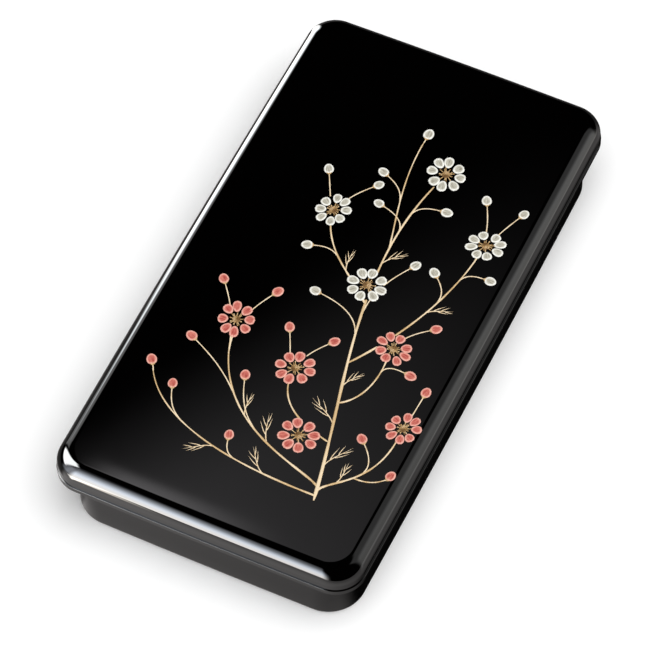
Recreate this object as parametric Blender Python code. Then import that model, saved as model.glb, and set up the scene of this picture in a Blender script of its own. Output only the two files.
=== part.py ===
"""Writing box: a shallow lacquered tray and the lid that lifts off it.

Metres, X across the box, Y along it, +Z up. The origin is the middle of the underside, so the box stands
on Z = 0. Every surface is a stack of plan outlines: a rounded rectangle with slightly bowed sides, set in
from the lid's outer walls and lifted to a height.
"""
import math

import bmesh
import bpy

# Driving dimensions: the plan, over the lid's walls
LENGTH = 0.225           # end to end, at the middle of the bowed ends
WIDTH = 0.121            # side to side, at the middle of the bowed sides
SIDE_BOW = 0.0006        # how far the middle of a long side stands out past its corners
END_BOW = 0.0004         # the same for a short end
LID_CORNER = 0.0110      # radius of the lid's corners in plan, at its walls
TOP_CORNER = 0.0080      # radius of the flat top's corners
TRAY_CORNER_EASE = 0.0065  # how much rounder the tray's corners are than the lid's, wall and clearance off

# Driving dimensions: heights
SHOWN_HEIGHT = 0.0246    # underside to the lid's mouth, the part of the tray that shows
LID_HEIGHT = 0.0109      # mouth to top
LID_HOLLOW = 0.0026      # the lid's hollow above the seat that rests on the tray's rim

# Driving dimensions: walls and fits
LID_WALL = 0.0035        # the lid's skirt
LID_TOP = 0.0035
TRAY_WALL = 0.0035
TRAY_FLOOR = 0.0035
SKIRT_CLEARANCE = 0.0005  # between the lid's skirt and the tray's wall
SEAT_GAP = 0.0003        # between the tray's rim and the lid's seat

# Driving dimensions: curves of the profile
SHOULDER_IN = 0.0058     # how far the shoulder's curve reaches in across the top
SHOULDER_DROP = 0.0060   # how far it comes down the side
LIP_HEIGHT = 0.0012      # half-round lip along the lid's mouth
LIP_PROUD = 0.0003
FOOT_RADIUS = 0.0017     # rounding between the tray's wall and its underside
RIM_RADIUS = 0.0006      # softened edges of the tray's rim
FLOOR_FILLET = 0.0030    # inside the tray, wall to floor
CEILING_FILLET = 0.0020  # inside the lid, wall to ceiling

# Facets
CORNER_STEPS = 8
SIDE_STEPS = 6
END_STEPS = 4
SHOULDER_STEPS = 8
FILLET_STEPS = 4
SMALLEST_RADIUS = 0.0002

# Sizes that follow from the ones above
TRAY_INSET = LID_WALL + SKIRT_CLEARANCE
TRAY_CORNER = LID_CORNER - TRAY_INSET + TRAY_CORNER_EASE
INNER_INSET = TRAY_INSET + TRAY_WALL
RIM_RISE = LID_HEIGHT - LID_TOP - LID_HOLLOW - SEAT_GAP  # how far the rim reaches into the lid
TRAY_HEIGHT = SHOWN_HEIGHT + RIM_RISE


def outline(inset, corner, z):
    """Plan outline at height z, anticlockwise: four round corners joined by four bowed sides."""
    half_x = WIDTH / 2 - SIDE_BOW - inset
    half_y = LENGTH / 2 - END_BOW - inset
    corner = max(corner, SMALLEST_RADIUS)
    flat_x, flat_y = half_x - corner, half_y - corner
    quarter = [
        (flat_x + corner * math.cos(a), flat_y + corner * math.sin(a))
        for a in (math.pi / 2 * k / CORNER_STEPS for k in range(CORNER_STEPS + 1))
    ]
    mirrored = [(-x, y) for x, y in reversed(quarter)]
    points = []
    for stretch, steps in (
        (quarter, END_STEPS),
        (mirrored, SIDE_STEPS),
        ([(-x, -y) for x, y in quarter], END_STEPS),
        ([(-x, -y) for x, y in mirrored], SIDE_STEPS),
    ):
        points += stretch
        (x0, y0) = stretch[-1]
        (x1, y1) = (-x0, y0) if steps == END_STEPS else (x0, -y0)
        points += [
            (x0 + (x1 - x0) * k / steps, y0 + (y1 - y0) * k / steps) for k in range(1, steps)
        ]
    return [
        (
            x * (1 + SIDE_BOW / half_x * (1 - (y / half_y) ** 2)),
            y * (1 + END_BOW / half_y * (1 - (x / half_x) ** 2)),
            z,
        )
        for x, y in points
    ]


def lid_outline(inset, z):
    """Outline that runs parallel to the lid's walls."""
    return outline(inset, LID_CORNER - inset, z)


def shoulder_outline(inset, z):
    """Outline on the lid's shoulder, whose corners pass from the walls' radius to the flat top's."""
    return outline(inset, LID_CORNER + (TOP_CORNER - LID_CORNER) * inset / SHOULDER_IN, z)


def tray_outline(inset, z):
    """Outline that runs parallel to the tray's walls."""
    return outline(inset, TRAY_CORNER - (inset - TRAY_INSET), z)


def arc(steps, start=0.0, end=math.pi / 2):
    """Angles of an arc, both ends included."""
    return [start + (end - start) * k / steps for k in range(steps + 1)]


def loft(name, rings, material):
    """One closed body through a stack of outlines, capped flat at its first and last."""
    form = bmesh.new()
    loops = [[form.verts.new(point) for point in ring] for ring in rings]
    form.faces.new(loops[0])
    for near, far in zip(loops, loops[1:]):
        for i in range(len(near)):
            form.faces.new((near[i - 1], near[i], far[i], far[i - 1]))
    form.faces.new(loops[-1])
    bmesh.ops.recalc_face_normals(form, faces=form.faces)
    mesh = bpy.data.meshes.new(name)
    form.to_mesh(mesh)
    form.free()
    mesh.shade_smooth()
    mesh.set_sharp_from_angle(angle=math.radians(35))
    mesh.materials.append(material)
    piece = bpy.data.objects.new(name, mesh)
    bpy.context.collection.objects.link(piece)
    return piece


def build_tray(material):
    """From the underside round the foot, up the wall, over the rim, down inside and across the floor."""
    foot = min(FOOT_RADIUS, TRAY_WALL)
    rim = min(RIM_RADIUS, TRAY_WALL / 3)
    fillet = min(FLOOR_FILLET, (TRAY_HEIGHT - TRAY_FLOOR) / 2)
    rings = [tray_outline(TRAY_INSET + foot * (1 - math.sin(a)), foot * (1 - math.cos(a)))
             for a in arc(FILLET_STEPS)]
    rings += [tray_outline(TRAY_INSET + rim * (1 - math.cos(a)), TRAY_HEIGHT - rim * (1 - math.sin(a)))
              for a in arc(2)]
    rings += [tray_outline(INNER_INSET - rim * (1 - math.sin(a)), TRAY_HEIGHT - rim * (1 - math.cos(a)))
              for a in arc(2)]
    rings += [tray_outline(INNER_INSET + fillet * (1 - math.cos(a)), TRAY_FLOOR + fillet * (1 - math.sin(a)))
              for a in arc(FILLET_STEPS)]
    return loft("box_tray", rings, material)


def build_lid(material):
    """From the flat top over the shoulder, down the wall, round the lip and up inside, past the seat."""
    drop = min(SHOULDER_DROP, LID_HEIGHT - LIP_HEIGHT - SMALLEST_RADIUS)
    seat = RIM_RISE + SEAT_GAP
    ceiling = LID_HEIGHT - LID_TOP
    fillet = min(CEILING_FILLET, LID_HOLLOW * 0.8)
    rings = [shoulder_outline(SHOULDER_IN * (1 - math.sin(a)), LID_HEIGHT - drop * (1 - math.cos(a)))
             for a in arc(SHOULDER_STEPS)]
    rings += [lid_outline(-LIP_PROUD * math.sin(a), LIP_HEIGHT / 2 * (1 + math.cos(a)))
              for a in arc(6, 0.0, math.pi)]
    rings += [lid_outline(LID_WALL, 0.0), lid_outline(LID_WALL, seat), tray_outline(INNER_INSET, seat)]
    rings += [tray_outline(INNER_INSET + fillet * (1 - math.cos(a)), ceiling - fillet * (1 - math.sin(a)))
              for a in arc(FILLET_STEPS)]
    return loft("box_lid", rings, material)


def lacquer():
    """Black lacquer, polished to a mirror."""
    material = bpy.data.materials.new("black_lacquer")
    material.use_nodes = True
    shader = material.node_tree.nodes["Principled BSDF"]
    shader.inputs["Base Color"].default_value = (0.006, 0.006, 0.007, 1.0)
    shader.inputs["Roughness"].default_value = 0.06
    shader.inputs["Metallic"].default_value = 0.0
    shader.inputs["Coat Weight"].default_value = 1.0
    shader.inputs["Coat Roughness"].default_value = 0.03
    return material


def main():
    for thing in list(bpy.data.objects):
        bpy.data.objects.remove(thing, do_unlink=True)
    box = bpy.data.objects.new("writing_box", None)
    bpy.context.collection.objects.link(box)
    material = lacquer()
    tray = build_tray(material)
    lid = build_lid(material)
    lid.location.z = SHOWN_HEIGHT
    for piece in (tray, lid):
        piece.parent = box


main()
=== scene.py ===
import math

import bpy
import numpy as np
from mathutils import Matrix, Vector


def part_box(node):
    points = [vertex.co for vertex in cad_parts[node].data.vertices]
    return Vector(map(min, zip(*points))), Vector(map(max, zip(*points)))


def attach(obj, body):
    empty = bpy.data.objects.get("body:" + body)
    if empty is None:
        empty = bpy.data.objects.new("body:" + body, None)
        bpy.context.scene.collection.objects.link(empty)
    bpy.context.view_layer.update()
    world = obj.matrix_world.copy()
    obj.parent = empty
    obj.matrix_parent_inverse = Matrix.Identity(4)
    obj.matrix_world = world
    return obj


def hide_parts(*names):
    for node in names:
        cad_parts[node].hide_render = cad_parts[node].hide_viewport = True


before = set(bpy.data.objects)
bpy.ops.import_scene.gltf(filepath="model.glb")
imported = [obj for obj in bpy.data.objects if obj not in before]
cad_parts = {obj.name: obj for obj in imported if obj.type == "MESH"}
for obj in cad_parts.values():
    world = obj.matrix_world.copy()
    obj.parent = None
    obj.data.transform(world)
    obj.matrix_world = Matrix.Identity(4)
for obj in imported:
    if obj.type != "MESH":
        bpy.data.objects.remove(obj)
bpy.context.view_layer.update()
print("frame loaded:", ", ".join(sorted(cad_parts)))


# Node helpers

# a new material with its Principled shader, whose plain values are given by socket name
def paint(name, sockets):
    material = bpy.data.materials.new(name)
    material.use_nodes = True
    shader = material.node_tree.nodes["Principled BSDF"]
    for socket, value in sockets.items():
        shader.inputs[socket].default_value = value
    return material, material.node_tree, shader


# a new node with its settings
def addNode(tree, kind, **settings):
    node = tree.nodes.new(kind)
    for key, value in settings.items():
        setattr(node, key, value)
    return node


# one Math node on two values, each a socket or a plain number
def calculate(tree, operation, first, second):
    node = addNode(tree, "ShaderNodeMath", operation=operation)
    for socket, value in zip(node.inputs, (first, second)):
        if isinstance(value, bpy.types.NodeSocket):
            tree.links.new(value, socket)
        else:
            socket.default_value = value
    return node.outputs[0]


# noise with blotches of the given size, in metres of Object coordinates unless another place is given
def grain(tree, blotch, detail=2.0, place=None):
    if place is None:
        place = addNode(tree, "ShaderNodeTexCoord").outputs["Object"]
    noise = addNode(tree, "ShaderNodeTexNoise")
    noise.inputs["Scale"].default_value = 1 / blotch
    noise.inputs["Detail"].default_value = detail
    tree.links.new(place, noise.inputs["Vector"])
    return noise.outputs["Fac"]


# a value remapped from one range to another
def remap(tree, value, fromLow, fromHigh, toLow, toHigh):
    node = addNode(tree, "ShaderNodeMapRange", clamp=True)
    ends = {"From Min": fromLow, "From Max": fromHigh, "To Min": toLow, "To Max": toHigh}
    for socket, number in ends.items():
        node.inputs[socket].default_value = number
    tree.links.new(value, node.inputs["Value"])
    return node.outputs["Result"]


# colours along a value, as stops of (position, colour)
def ramp(tree, value, stops):
    node = addNode(tree, "ShaderNodeValToRGB")
    elements = node.color_ramp.elements
    while len(elements) < len(stops):
        elements.new(0.5)
    for element, (position, colour) in zip(elements, stops):
        element.position = position
        element.color = (*colour, 1.0)
    tree.links.new(value, node.inputs["Fac"])
    return node.outputs["Color"]


# one colour multiplied by another; a Mix node's inputs 6 and 7 and its output 2 are its colours
def timesColour(tree, first, second):
    node = addNode(tree, "ShaderNodeMix", data_type="RGBA", blend_type="MULTIPLY")
    node.inputs[0].default_value = 1.0
    tree.links.new(first, node.inputs[6])
    tree.links.new(second, node.inputs[7])
    return node.outputs[2]


# the number that each of a mesh's points stores under a name
def readAttribute(tree, name):
    node = addNode(tree, "ShaderNodeAttribute", attribute_name=name)
    return node.outputs["Fac"]


# a surface whose shading follows small heights
def addBump(tree, shader, height, distance, strength=1.0):
    bump = addNode(tree, "ShaderNodeBump")
    bump.inputs["Strength"].default_value = strength
    bump.inputs["Distance"].default_value = distance
    tree.links.new(height, bump.inputs["Height"])
    tree.links.new(bump.outputs["Normal"], shader.inputs["Normal"])


# Finishes

# Black lacquer: all but black, mirror smooth outside and duller inside, faintly uneven from hand polish
blackLacquer = {
    "colour": (0.00030, 0.00024, 0.00024),
    "outsideRoughness": (0.030, 0.045),
    "insideRoughness": 0.20,
    "polishBlotch": 0.018,     # size of the patches where the polish differs
    "polishRange": (0.35, 0.65),
    "wave": 0.030,             # length of the long waves left by polishing
    "waveDepth": 0.0000012,
}


# Formula: outside, the roughness follows the polish's noise; inside it is one value
def makeLacquer():
    look = blackLacquer
    material, tree, shader = paint("blackLacquer", {"Base Color": (*look["colour"], 1.0), "IOR": 1.5})
    polish = grain(tree, look["polishBlotch"], detail=3.0)
    mixed = addNode(tree, "ShaderNodeMix", data_type="FLOAT")
    tree.links.new(readAttribute(tree, "inside"), mixed.inputs["Factor"])
    tree.links.new(remap(tree, polish, *look["polishRange"], *look["outsideRoughness"]), mixed.inputs["A"])
    mixed.inputs["B"].default_value = look["insideRoughness"]
    tree.links.new(mixed.outputs["Result"], shader.inputs["Roughness"])
    addBump(tree, shader, grain(tree, look["wave"], detail=0.0), look["waveDepth"])
    return material


# Painted colours: powder bound in lacquer, with a paler raised rim and a grain that the eye just catches
goldPowder = {
    "dark": (0.150, 0.075, 0.028),
    "middle": (0.600, 0.390, 0.165),
    "pale": (0.960, 0.790, 0.550),
    "middleTone": 0.45,
    "metallic": 0.15,
    "speck": 0.00022,
    "speckTone": 0.22,         # how far a speck shifts the tone, either way
    "roughness": (0.34, 0.55),
    "bump": 0.6,
}
coralColour = {
    "deep": (0.350, 0.045, 0.040),
    "inner": (0.615, 0.190, 0.145),
    "rim": (0.850, 0.480, 0.395),
    "speck": 0.00030,
    "roughness": (0.42, 0.58),
    "bump": 0.5,
}
silverWhite = {
    "deep": (0.270, 0.250, 0.195),
    "inner": (0.575, 0.555, 0.470),
    "rim": (0.980, 0.980, 0.930),
    "speck": 0.00030,
    "roughness": (0.38, 0.55),
    "bump": 0.5,
}
specks = {
    "range": (0.3, 0.7),       # nearly all of the noise's values lie in here
    "shade": (0.80, 1.10),     # darkest and palest speck of coral and silver
    "depth": 0.00003,
}
brushStreaks = {
    "across": 3.6,             # how finely they lie over a petal
    "along": 0.8,
    "detail": 3.0,
    "range": (0.32, 0.68),
    "share": 0.40,             # how strong they are against the petal's own tones
}


# Formula: the stored tone, shifted speck by speck, picks a colour between dark, middle and pale
def makeGold():
    look = goldPowder
    material, tree, shader = paint("goldPowder", {"Metallic": look["metallic"], "IOR": 1.5})
    speck = grain(tree, look["speck"])
    shift = remap(tree, speck, *specks["range"], -look["speckTone"], look["speckTone"])
    total = calculate(tree, "ADD", readAttribute(tree, "tone"), shift)
    stops = ((0.0, look["dark"]), (look["middleTone"], look["middle"]), (1.0, look["pale"]))
    tree.links.new(ramp(tree, total, stops), shader.inputs["Base Color"])
    tree.links.new(remap(tree, speck, *specks["range"], *look["roughness"]), shader.inputs["Roughness"])
    addBump(tree, shader, speck, specks["depth"], look["bump"])
    return material


# Formula: the stored tone and a share of long streaks pick a colour between deep, inner and rim. Each petal
# has its own streaks, as a brush leaves them, and they break up its rim too.
def makePowderColour(name, look):
    material, tree, shader = paint(name, {"IOR": 1.5})
    speck = grain(tree, look["speck"])
    petalPlace = addNode(tree, "ShaderNodeCombineXYZ")
    for socket, label in (("X", "across"), ("Y", "along")):
        scaled = calculate(tree, "MULTIPLY", readAttribute(tree, label), brushStreaks[label])
        tree.links.new(scaled, petalPlace.inputs[socket])
    streak = grain(tree, 1.0, brushStreaks["detail"], petalPlace.outputs[0])
    share = brushStreaks["share"]
    tone = remap(tree, readAttribute(tree, "tone"), 0.0, 1.0, 0.0, 1 - share)
    total = calculate(tree, "ADD", tone, remap(tree, streak, *brushStreaks["range"], 0.0, share))
    colour = ramp(tree, total, ((0.0, look["deep"]), (share, look["inner"]), (1.0, look["rim"])))
    shade = ramp(tree, speck, [(stop, (grey,) * 3) for stop, grey in zip(specks["range"], specks["shade"])])
    tree.links.new(timesColour(tree, colour, shade), shader.inputs["Base Color"])
    tree.links.new(remap(tree, speck, *specks["range"], *look["roughness"]), shader.inputs["Roughness"])
    addBump(tree, shader, speck, specks["depth"], look["bump"])
    return material


lacquer = makeLacquer()
gold = makeGold()
coral = makePowderColour("coralColour", coralColour)
silver = makePowderColour("silverWhiteColour", silverWhite)
print("finishes made")


# Surfaces

# an object in the scene, with a mesh of the given points and faces
def addPiece(name, points, faces, material):
    mesh = bpy.data.meshes.new(name)
    mesh.from_pydata(points, [], faces)
    mesh.materials.append(material)
    piece = bpy.data.objects.new(name, mesh)
    bpy.context.scene.collection.objects.link(piece)
    return piece


sharpTurn = 50      # degrees between two faces past which the edge between them stays sharp


# Formula: each form is a stack of closed rings, one ring per row and one column per point round it.
# Neighbouring rings are joined by quads that close round, and the first and last ring are drawn together to
# their middles. A batch's first axis counts its forms, so a whole set of petals goes in at once. Its values,
# one for each label, are spread over its rings.
def ringsToPiece(name, batches, material, labels):
    allPoints, allQuads, allFans, allValues = [], [], [], []
    start = 0
    for stack, *values in batches:
        forms, rows, around = stack.shape[:3]
        poles = stack[:, (0, -1)].mean(axis=2)
        points = np.concatenate([stack.reshape(forms, rows * around, 3), poles], axis=1)
        row, column = np.meshgrid(np.arange(rows - 1), np.arange(around), indexing="ij")
        right = (column + 1) % around
        quads = np.stack([row * around + column, (row + 1) * around + column,
                          (row + 1) * around + right, row * around + right], axis=-1).reshape(-1, 4)
        edge = np.arange(around)
        after = (edge + 1) % around
        last = (rows - 1) * around
        firstFan = np.stack([np.full(around, rows * around), edge, after], axis=-1)
        lastFan = np.stack([np.full(around, rows * around + 1), last + after, last + edge], axis=-1)
        shift = start + (np.arange(forms) * (rows * around + 2))[:, None, None]
        allQuads.append((quads + shift).reshape(-1, 4))
        allFans.append((np.concatenate([firstFan, lastFan]) + shift).reshape(-1, 3))
        allPoints.append(points.reshape(-1, 3))
        spreads = [np.broadcast_to(value, (forms, rows, around)) for value in values]
        allValues.append(np.stack([
            np.concatenate([spread.reshape(forms, -1), spread[:, (0, -1)].mean(axis=2)], axis=1).ravel()
            for spread in spreads]))
        start += forms * (rows * around + 2)
    faces = np.concatenate(allQuads).tolist() + np.concatenate(allFans).tolist()
    piece = addPiece(name, np.concatenate(allPoints).tolist(), faces, material)
    piece.data.shade_smooth()
    piece.data.set_sharp_from_angle(angle=math.radians(sharpTurn))
    for label, spread in zip(labels, np.concatenate(allValues, axis=1)):
        attribute = piece.data.attributes.new(label, "FLOAT", "POINT")
        attribute.data.foreach_set("value", spread.astype(np.float32))
    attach(piece, "root")
    print(f"{name}: {len(faces)} faces")
    return piece


# The box's shell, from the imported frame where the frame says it, in metres
lidLow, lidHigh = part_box("box_lid")
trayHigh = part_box("box_tray")[1]
shell = {
    "sideBow": 0.0006,          # how far the middle of a long side stands out past its corners
    "endBow": 0.0004,           # the same for a short end
    "lipProud": 0.0003,         # the flat band round the lid's mouth
    "lipHeight": 0.0021,
    "lipStep": 0.00038,         # how far it steps out from the wall, which leans out to meet it
    "lipEdges": (0.00014, 0.00012),     # rounding of the band's upper and lower edge
    "lipFace": (2.2, 1.5),      # rings that keep its face flat, in roundings from its upper and lower edge
    "lidCorner": 0.0110,        # corner radius at the lid's walls
    "topCorner": 0.0080,        # corner radius of the flat top
    "trayCorner": 0.0135,
    "leastCorner": 0.0002,
    "shoulderIn": 0.0058,       # reach of the shoulder's curve across the top
    "shoulderDrop": 0.0060,     # and down the side
    "wall": 0.0035,
    "clearance": 0.0005,        # between the lid's skirt and the tray's wall
    "seatGap": 0.0003,          # between the tray's rim and the seat above it
    "seatStep": 0.0002,         # a ring this far above the seat keeps the seat's edge crisp
    "foot": 0.0017,             # rounding between the tray's wall and its underside
    "rimEdge": 0.0006,
    "floorFillet": 0.0030,
    "ceilingFillet": 0.0020,
    "cornerPoints": 26,
    "sidePoints": 64,
    "endPoints": 40,
    "shoulderSteps": 44,
    "edgeSteps": 4,             # round the lip's and the rim's edges
    "ceilingSteps": 8,
    "trayCurveSteps": 10,
    # shares of the border's size, from the middle of the lid's top out and from a plainer face's border in
    "topRings": (0.1, 0.2, 0.3, 0.4, 0.5, 0.6, 0.7, 0.8, 0.9, 0.96, 0.99, 0.997),
    "plainRings": (0.99, 0.7, 0.4, 0.1),
}
halfWidth = lidHigh.x - shell["lipProud"]
halfLength = lidHigh.y - shell["lipProud"]
mouth, topHeight, rimHeight = lidLow.z, lidHigh.z, trayHigh.z
trayInset = shell["wall"] + shell["clearance"]
innerInset = trayInset + shell["wall"]


# the angles of a quarter turn
def arc(steps):
    return np.linspace(0, np.pi / 2, steps + 1)


# Formula: a rounded rectangle set in from the lid's walls, its corners quarter circles. Then x is multiplied
# by 1 + bow / halfX * (1 - (y / halfY)^2), and y by the like, so that every side bows outward. One row per
# inset.
def planRings(inset, corner, height):
    rows = np.broadcast_arrays(inset, corner, height)
    inset, corner, height = (np.asarray(value, float)[:, None] for value in rows)
    halfX = halfWidth - shell["sideBow"] - inset
    halfY = halfLength - shell["endBow"] - inset
    corner = np.maximum(corner, shell["leastCorner"])
    flatX, flatY = halfX - corner, halfY - corner
    turn = arc(shell["cornerPoints"] - 1)[None, :]
    arcX, arcY = flatX + corner * np.cos(turn), flatY + corner * np.sin(turn)
    end = (np.arange(1, shell["endPoints"]) / shell["endPoints"])[None, :]
    side = (np.arange(1, shell["sidePoints"]) / shell["sidePoints"])[None, :]
    x = np.concatenate([arcX, flatX * (1 - 2 * end), -arcX[:, ::-1], -halfX + 0 * side,
                        -arcX, flatX * (2 * end - 1), arcX[:, ::-1], halfX + 0 * side], axis=1)
    y = np.concatenate([arcY, halfY + 0 * end, arcY[:, ::-1], flatY * (1 - 2 * side),
                        -arcY, -halfY + 0 * end, -arcY[:, ::-1], flatY * (2 * side - 1)], axis=1)
    bowedX = x * (1 + shell["sideBow"] / halfX * (1 - (y / halfY) ** 2))
    bowedY = y * (1 + shell["endBow"] / halfY * (1 - (x / halfX) ** 2))
    return np.stack([bowedX, bowedY, height + 0 * x], axis=-1)


# Formula: a flat panel is its border ring shrunk towards the middle by each share in turn
def panelRings(ring, shares):
    middle = np.array([0.0, 0.0, 1.0])
    shrink = np.asarray(shares)[:, None, None]
    return ring[None] * (shrink * (1 - middle) + middle)


# Formula: a quarter ellipse from the flat top's border down to the wall, its corners passing from the flat
# top's radius to the wall's
def shoulderRings(steps):
    s = shell
    a = arc(steps)
    return planRings(s["shoulderIn"] * (1 - np.sin(a)),
                     s["lidCorner"] + (s["topCorner"] - s["lidCorner"]) * (1 - np.sin(a)),
                     topHeight - s["shoulderDrop"] * (1 - np.cos(a)))


# one closed shell through parts of rings, each part with whether it is inside
def makeShell(name, parts):
    rings = np.concatenate([part for part, hidden in parts])
    inside = np.concatenate([np.full(len(part), hidden) for part, hidden in parts])
    return ringsToPiece(name, [(rings[None], inside[None, :, None])], lacquer, ["inside"])


# Formula: the lid's profile is carried round the plan: a flat top, the shoulder, a step out to the band round
# the mouth, whose edges are quarter circles, the skirt's inside, the seat that rests on the tray's rim, a
# fillet and the ceiling
def makeLid():
    s = shell
    shoulder = shoulderRings(s["shoulderSteps"])
    proud, high, (edge, under) = s["lipProud"], s["lipHeight"], s["lipEdges"]
    turn = arc(s["edgeSteps"])
    out = np.concatenate([[proud - s["lipStep"]], proud - edge * (1 - np.sin(turn)), [proud, proud],
                          proud - under * (1 - np.cos(turn))])
    climb = np.concatenate([[high], high - edge * (1 - np.cos(turn)),
                            [high - s["lipFace"][0] * edge, s["lipFace"][1] * under],
                            under * (1 - np.sin(turn))])
    lip = planRings(-out, s["lidCorner"] + out, mouth + climb)
    seat = rimHeight + s["seatGap"]
    skirt = planRings([s["wall"]] * 2, s["lidCorner"] - s["wall"], [mouth, seat])
    innerCorner = s["trayCorner"] - s["wall"]
    ledge = planRings([innerInset] * 2, innerCorner, [seat, seat + s["seatStep"]])
    turn = arc(s["ceilingSteps"])
    reach = s["ceilingFillet"] * (1 - np.cos(turn))
    fillet = planRings(innerInset + reach, innerCorner - reach,
                       topHeight - s["wall"] - s["ceilingFillet"] * (1 - np.sin(turn)))
    top = panelRings(shoulder[0], s["topRings"])
    ceiling = panelRings(fillet[-1], s["plainRings"])
    piece = makeShell("lacquerLid", [(top, False), (shoulder, False), (lip, False), (skirt, True),
                                     (ledge, True), (fillet, True), (ceiling, True)])
    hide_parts("box_lid")


# Formula: the tray's profile is carried round the plan from the middle of the floor: fillet, inner wall, rim
# with softened edges, outer wall, a quarter circle at the foot and the underside
def makeTray():
    s = shell

    def ring(inset, height):
        return planRings(inset, s["trayCorner"] - (inset - trayInset), height)

    fillet, edge, foot = s["floorFillet"], s["rimEdge"], s["foot"]
    turn = arc(s["trayCurveSteps"])
    floorCurve = ring(innerInset + fillet * (1 - np.sin(turn)), s["wall"] + fillet * (1 - np.cos(turn)))
    footCurve = ring(trayInset + foot * (1 - np.cos(turn)), foot * (1 - np.sin(turn)))
    turn = arc(s["edgeSteps"])
    innerEdge = ring(innerInset - edge * (1 - np.cos(turn)), rimHeight - edge * (1 - np.sin(turn)))
    outerEdge = ring(trayInset + edge * (1 - np.sin(turn)), rimHeight - edge * (1 - np.cos(turn)))
    floor = panelRings(floorCurve[0], s["plainRings"][::-1])
    underside = panelRings(footCurve[-1], s["plainRings"])
    piece = makeShell("lacquerTray", [(floor, True), (floorCurve, True), (innerEdge, True),
                                      (outerEdge, False), (footCurve, False), (underside, True)])
    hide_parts("box_tray")


makeLid()
makeTray()
print("lid and tray made")


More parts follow.
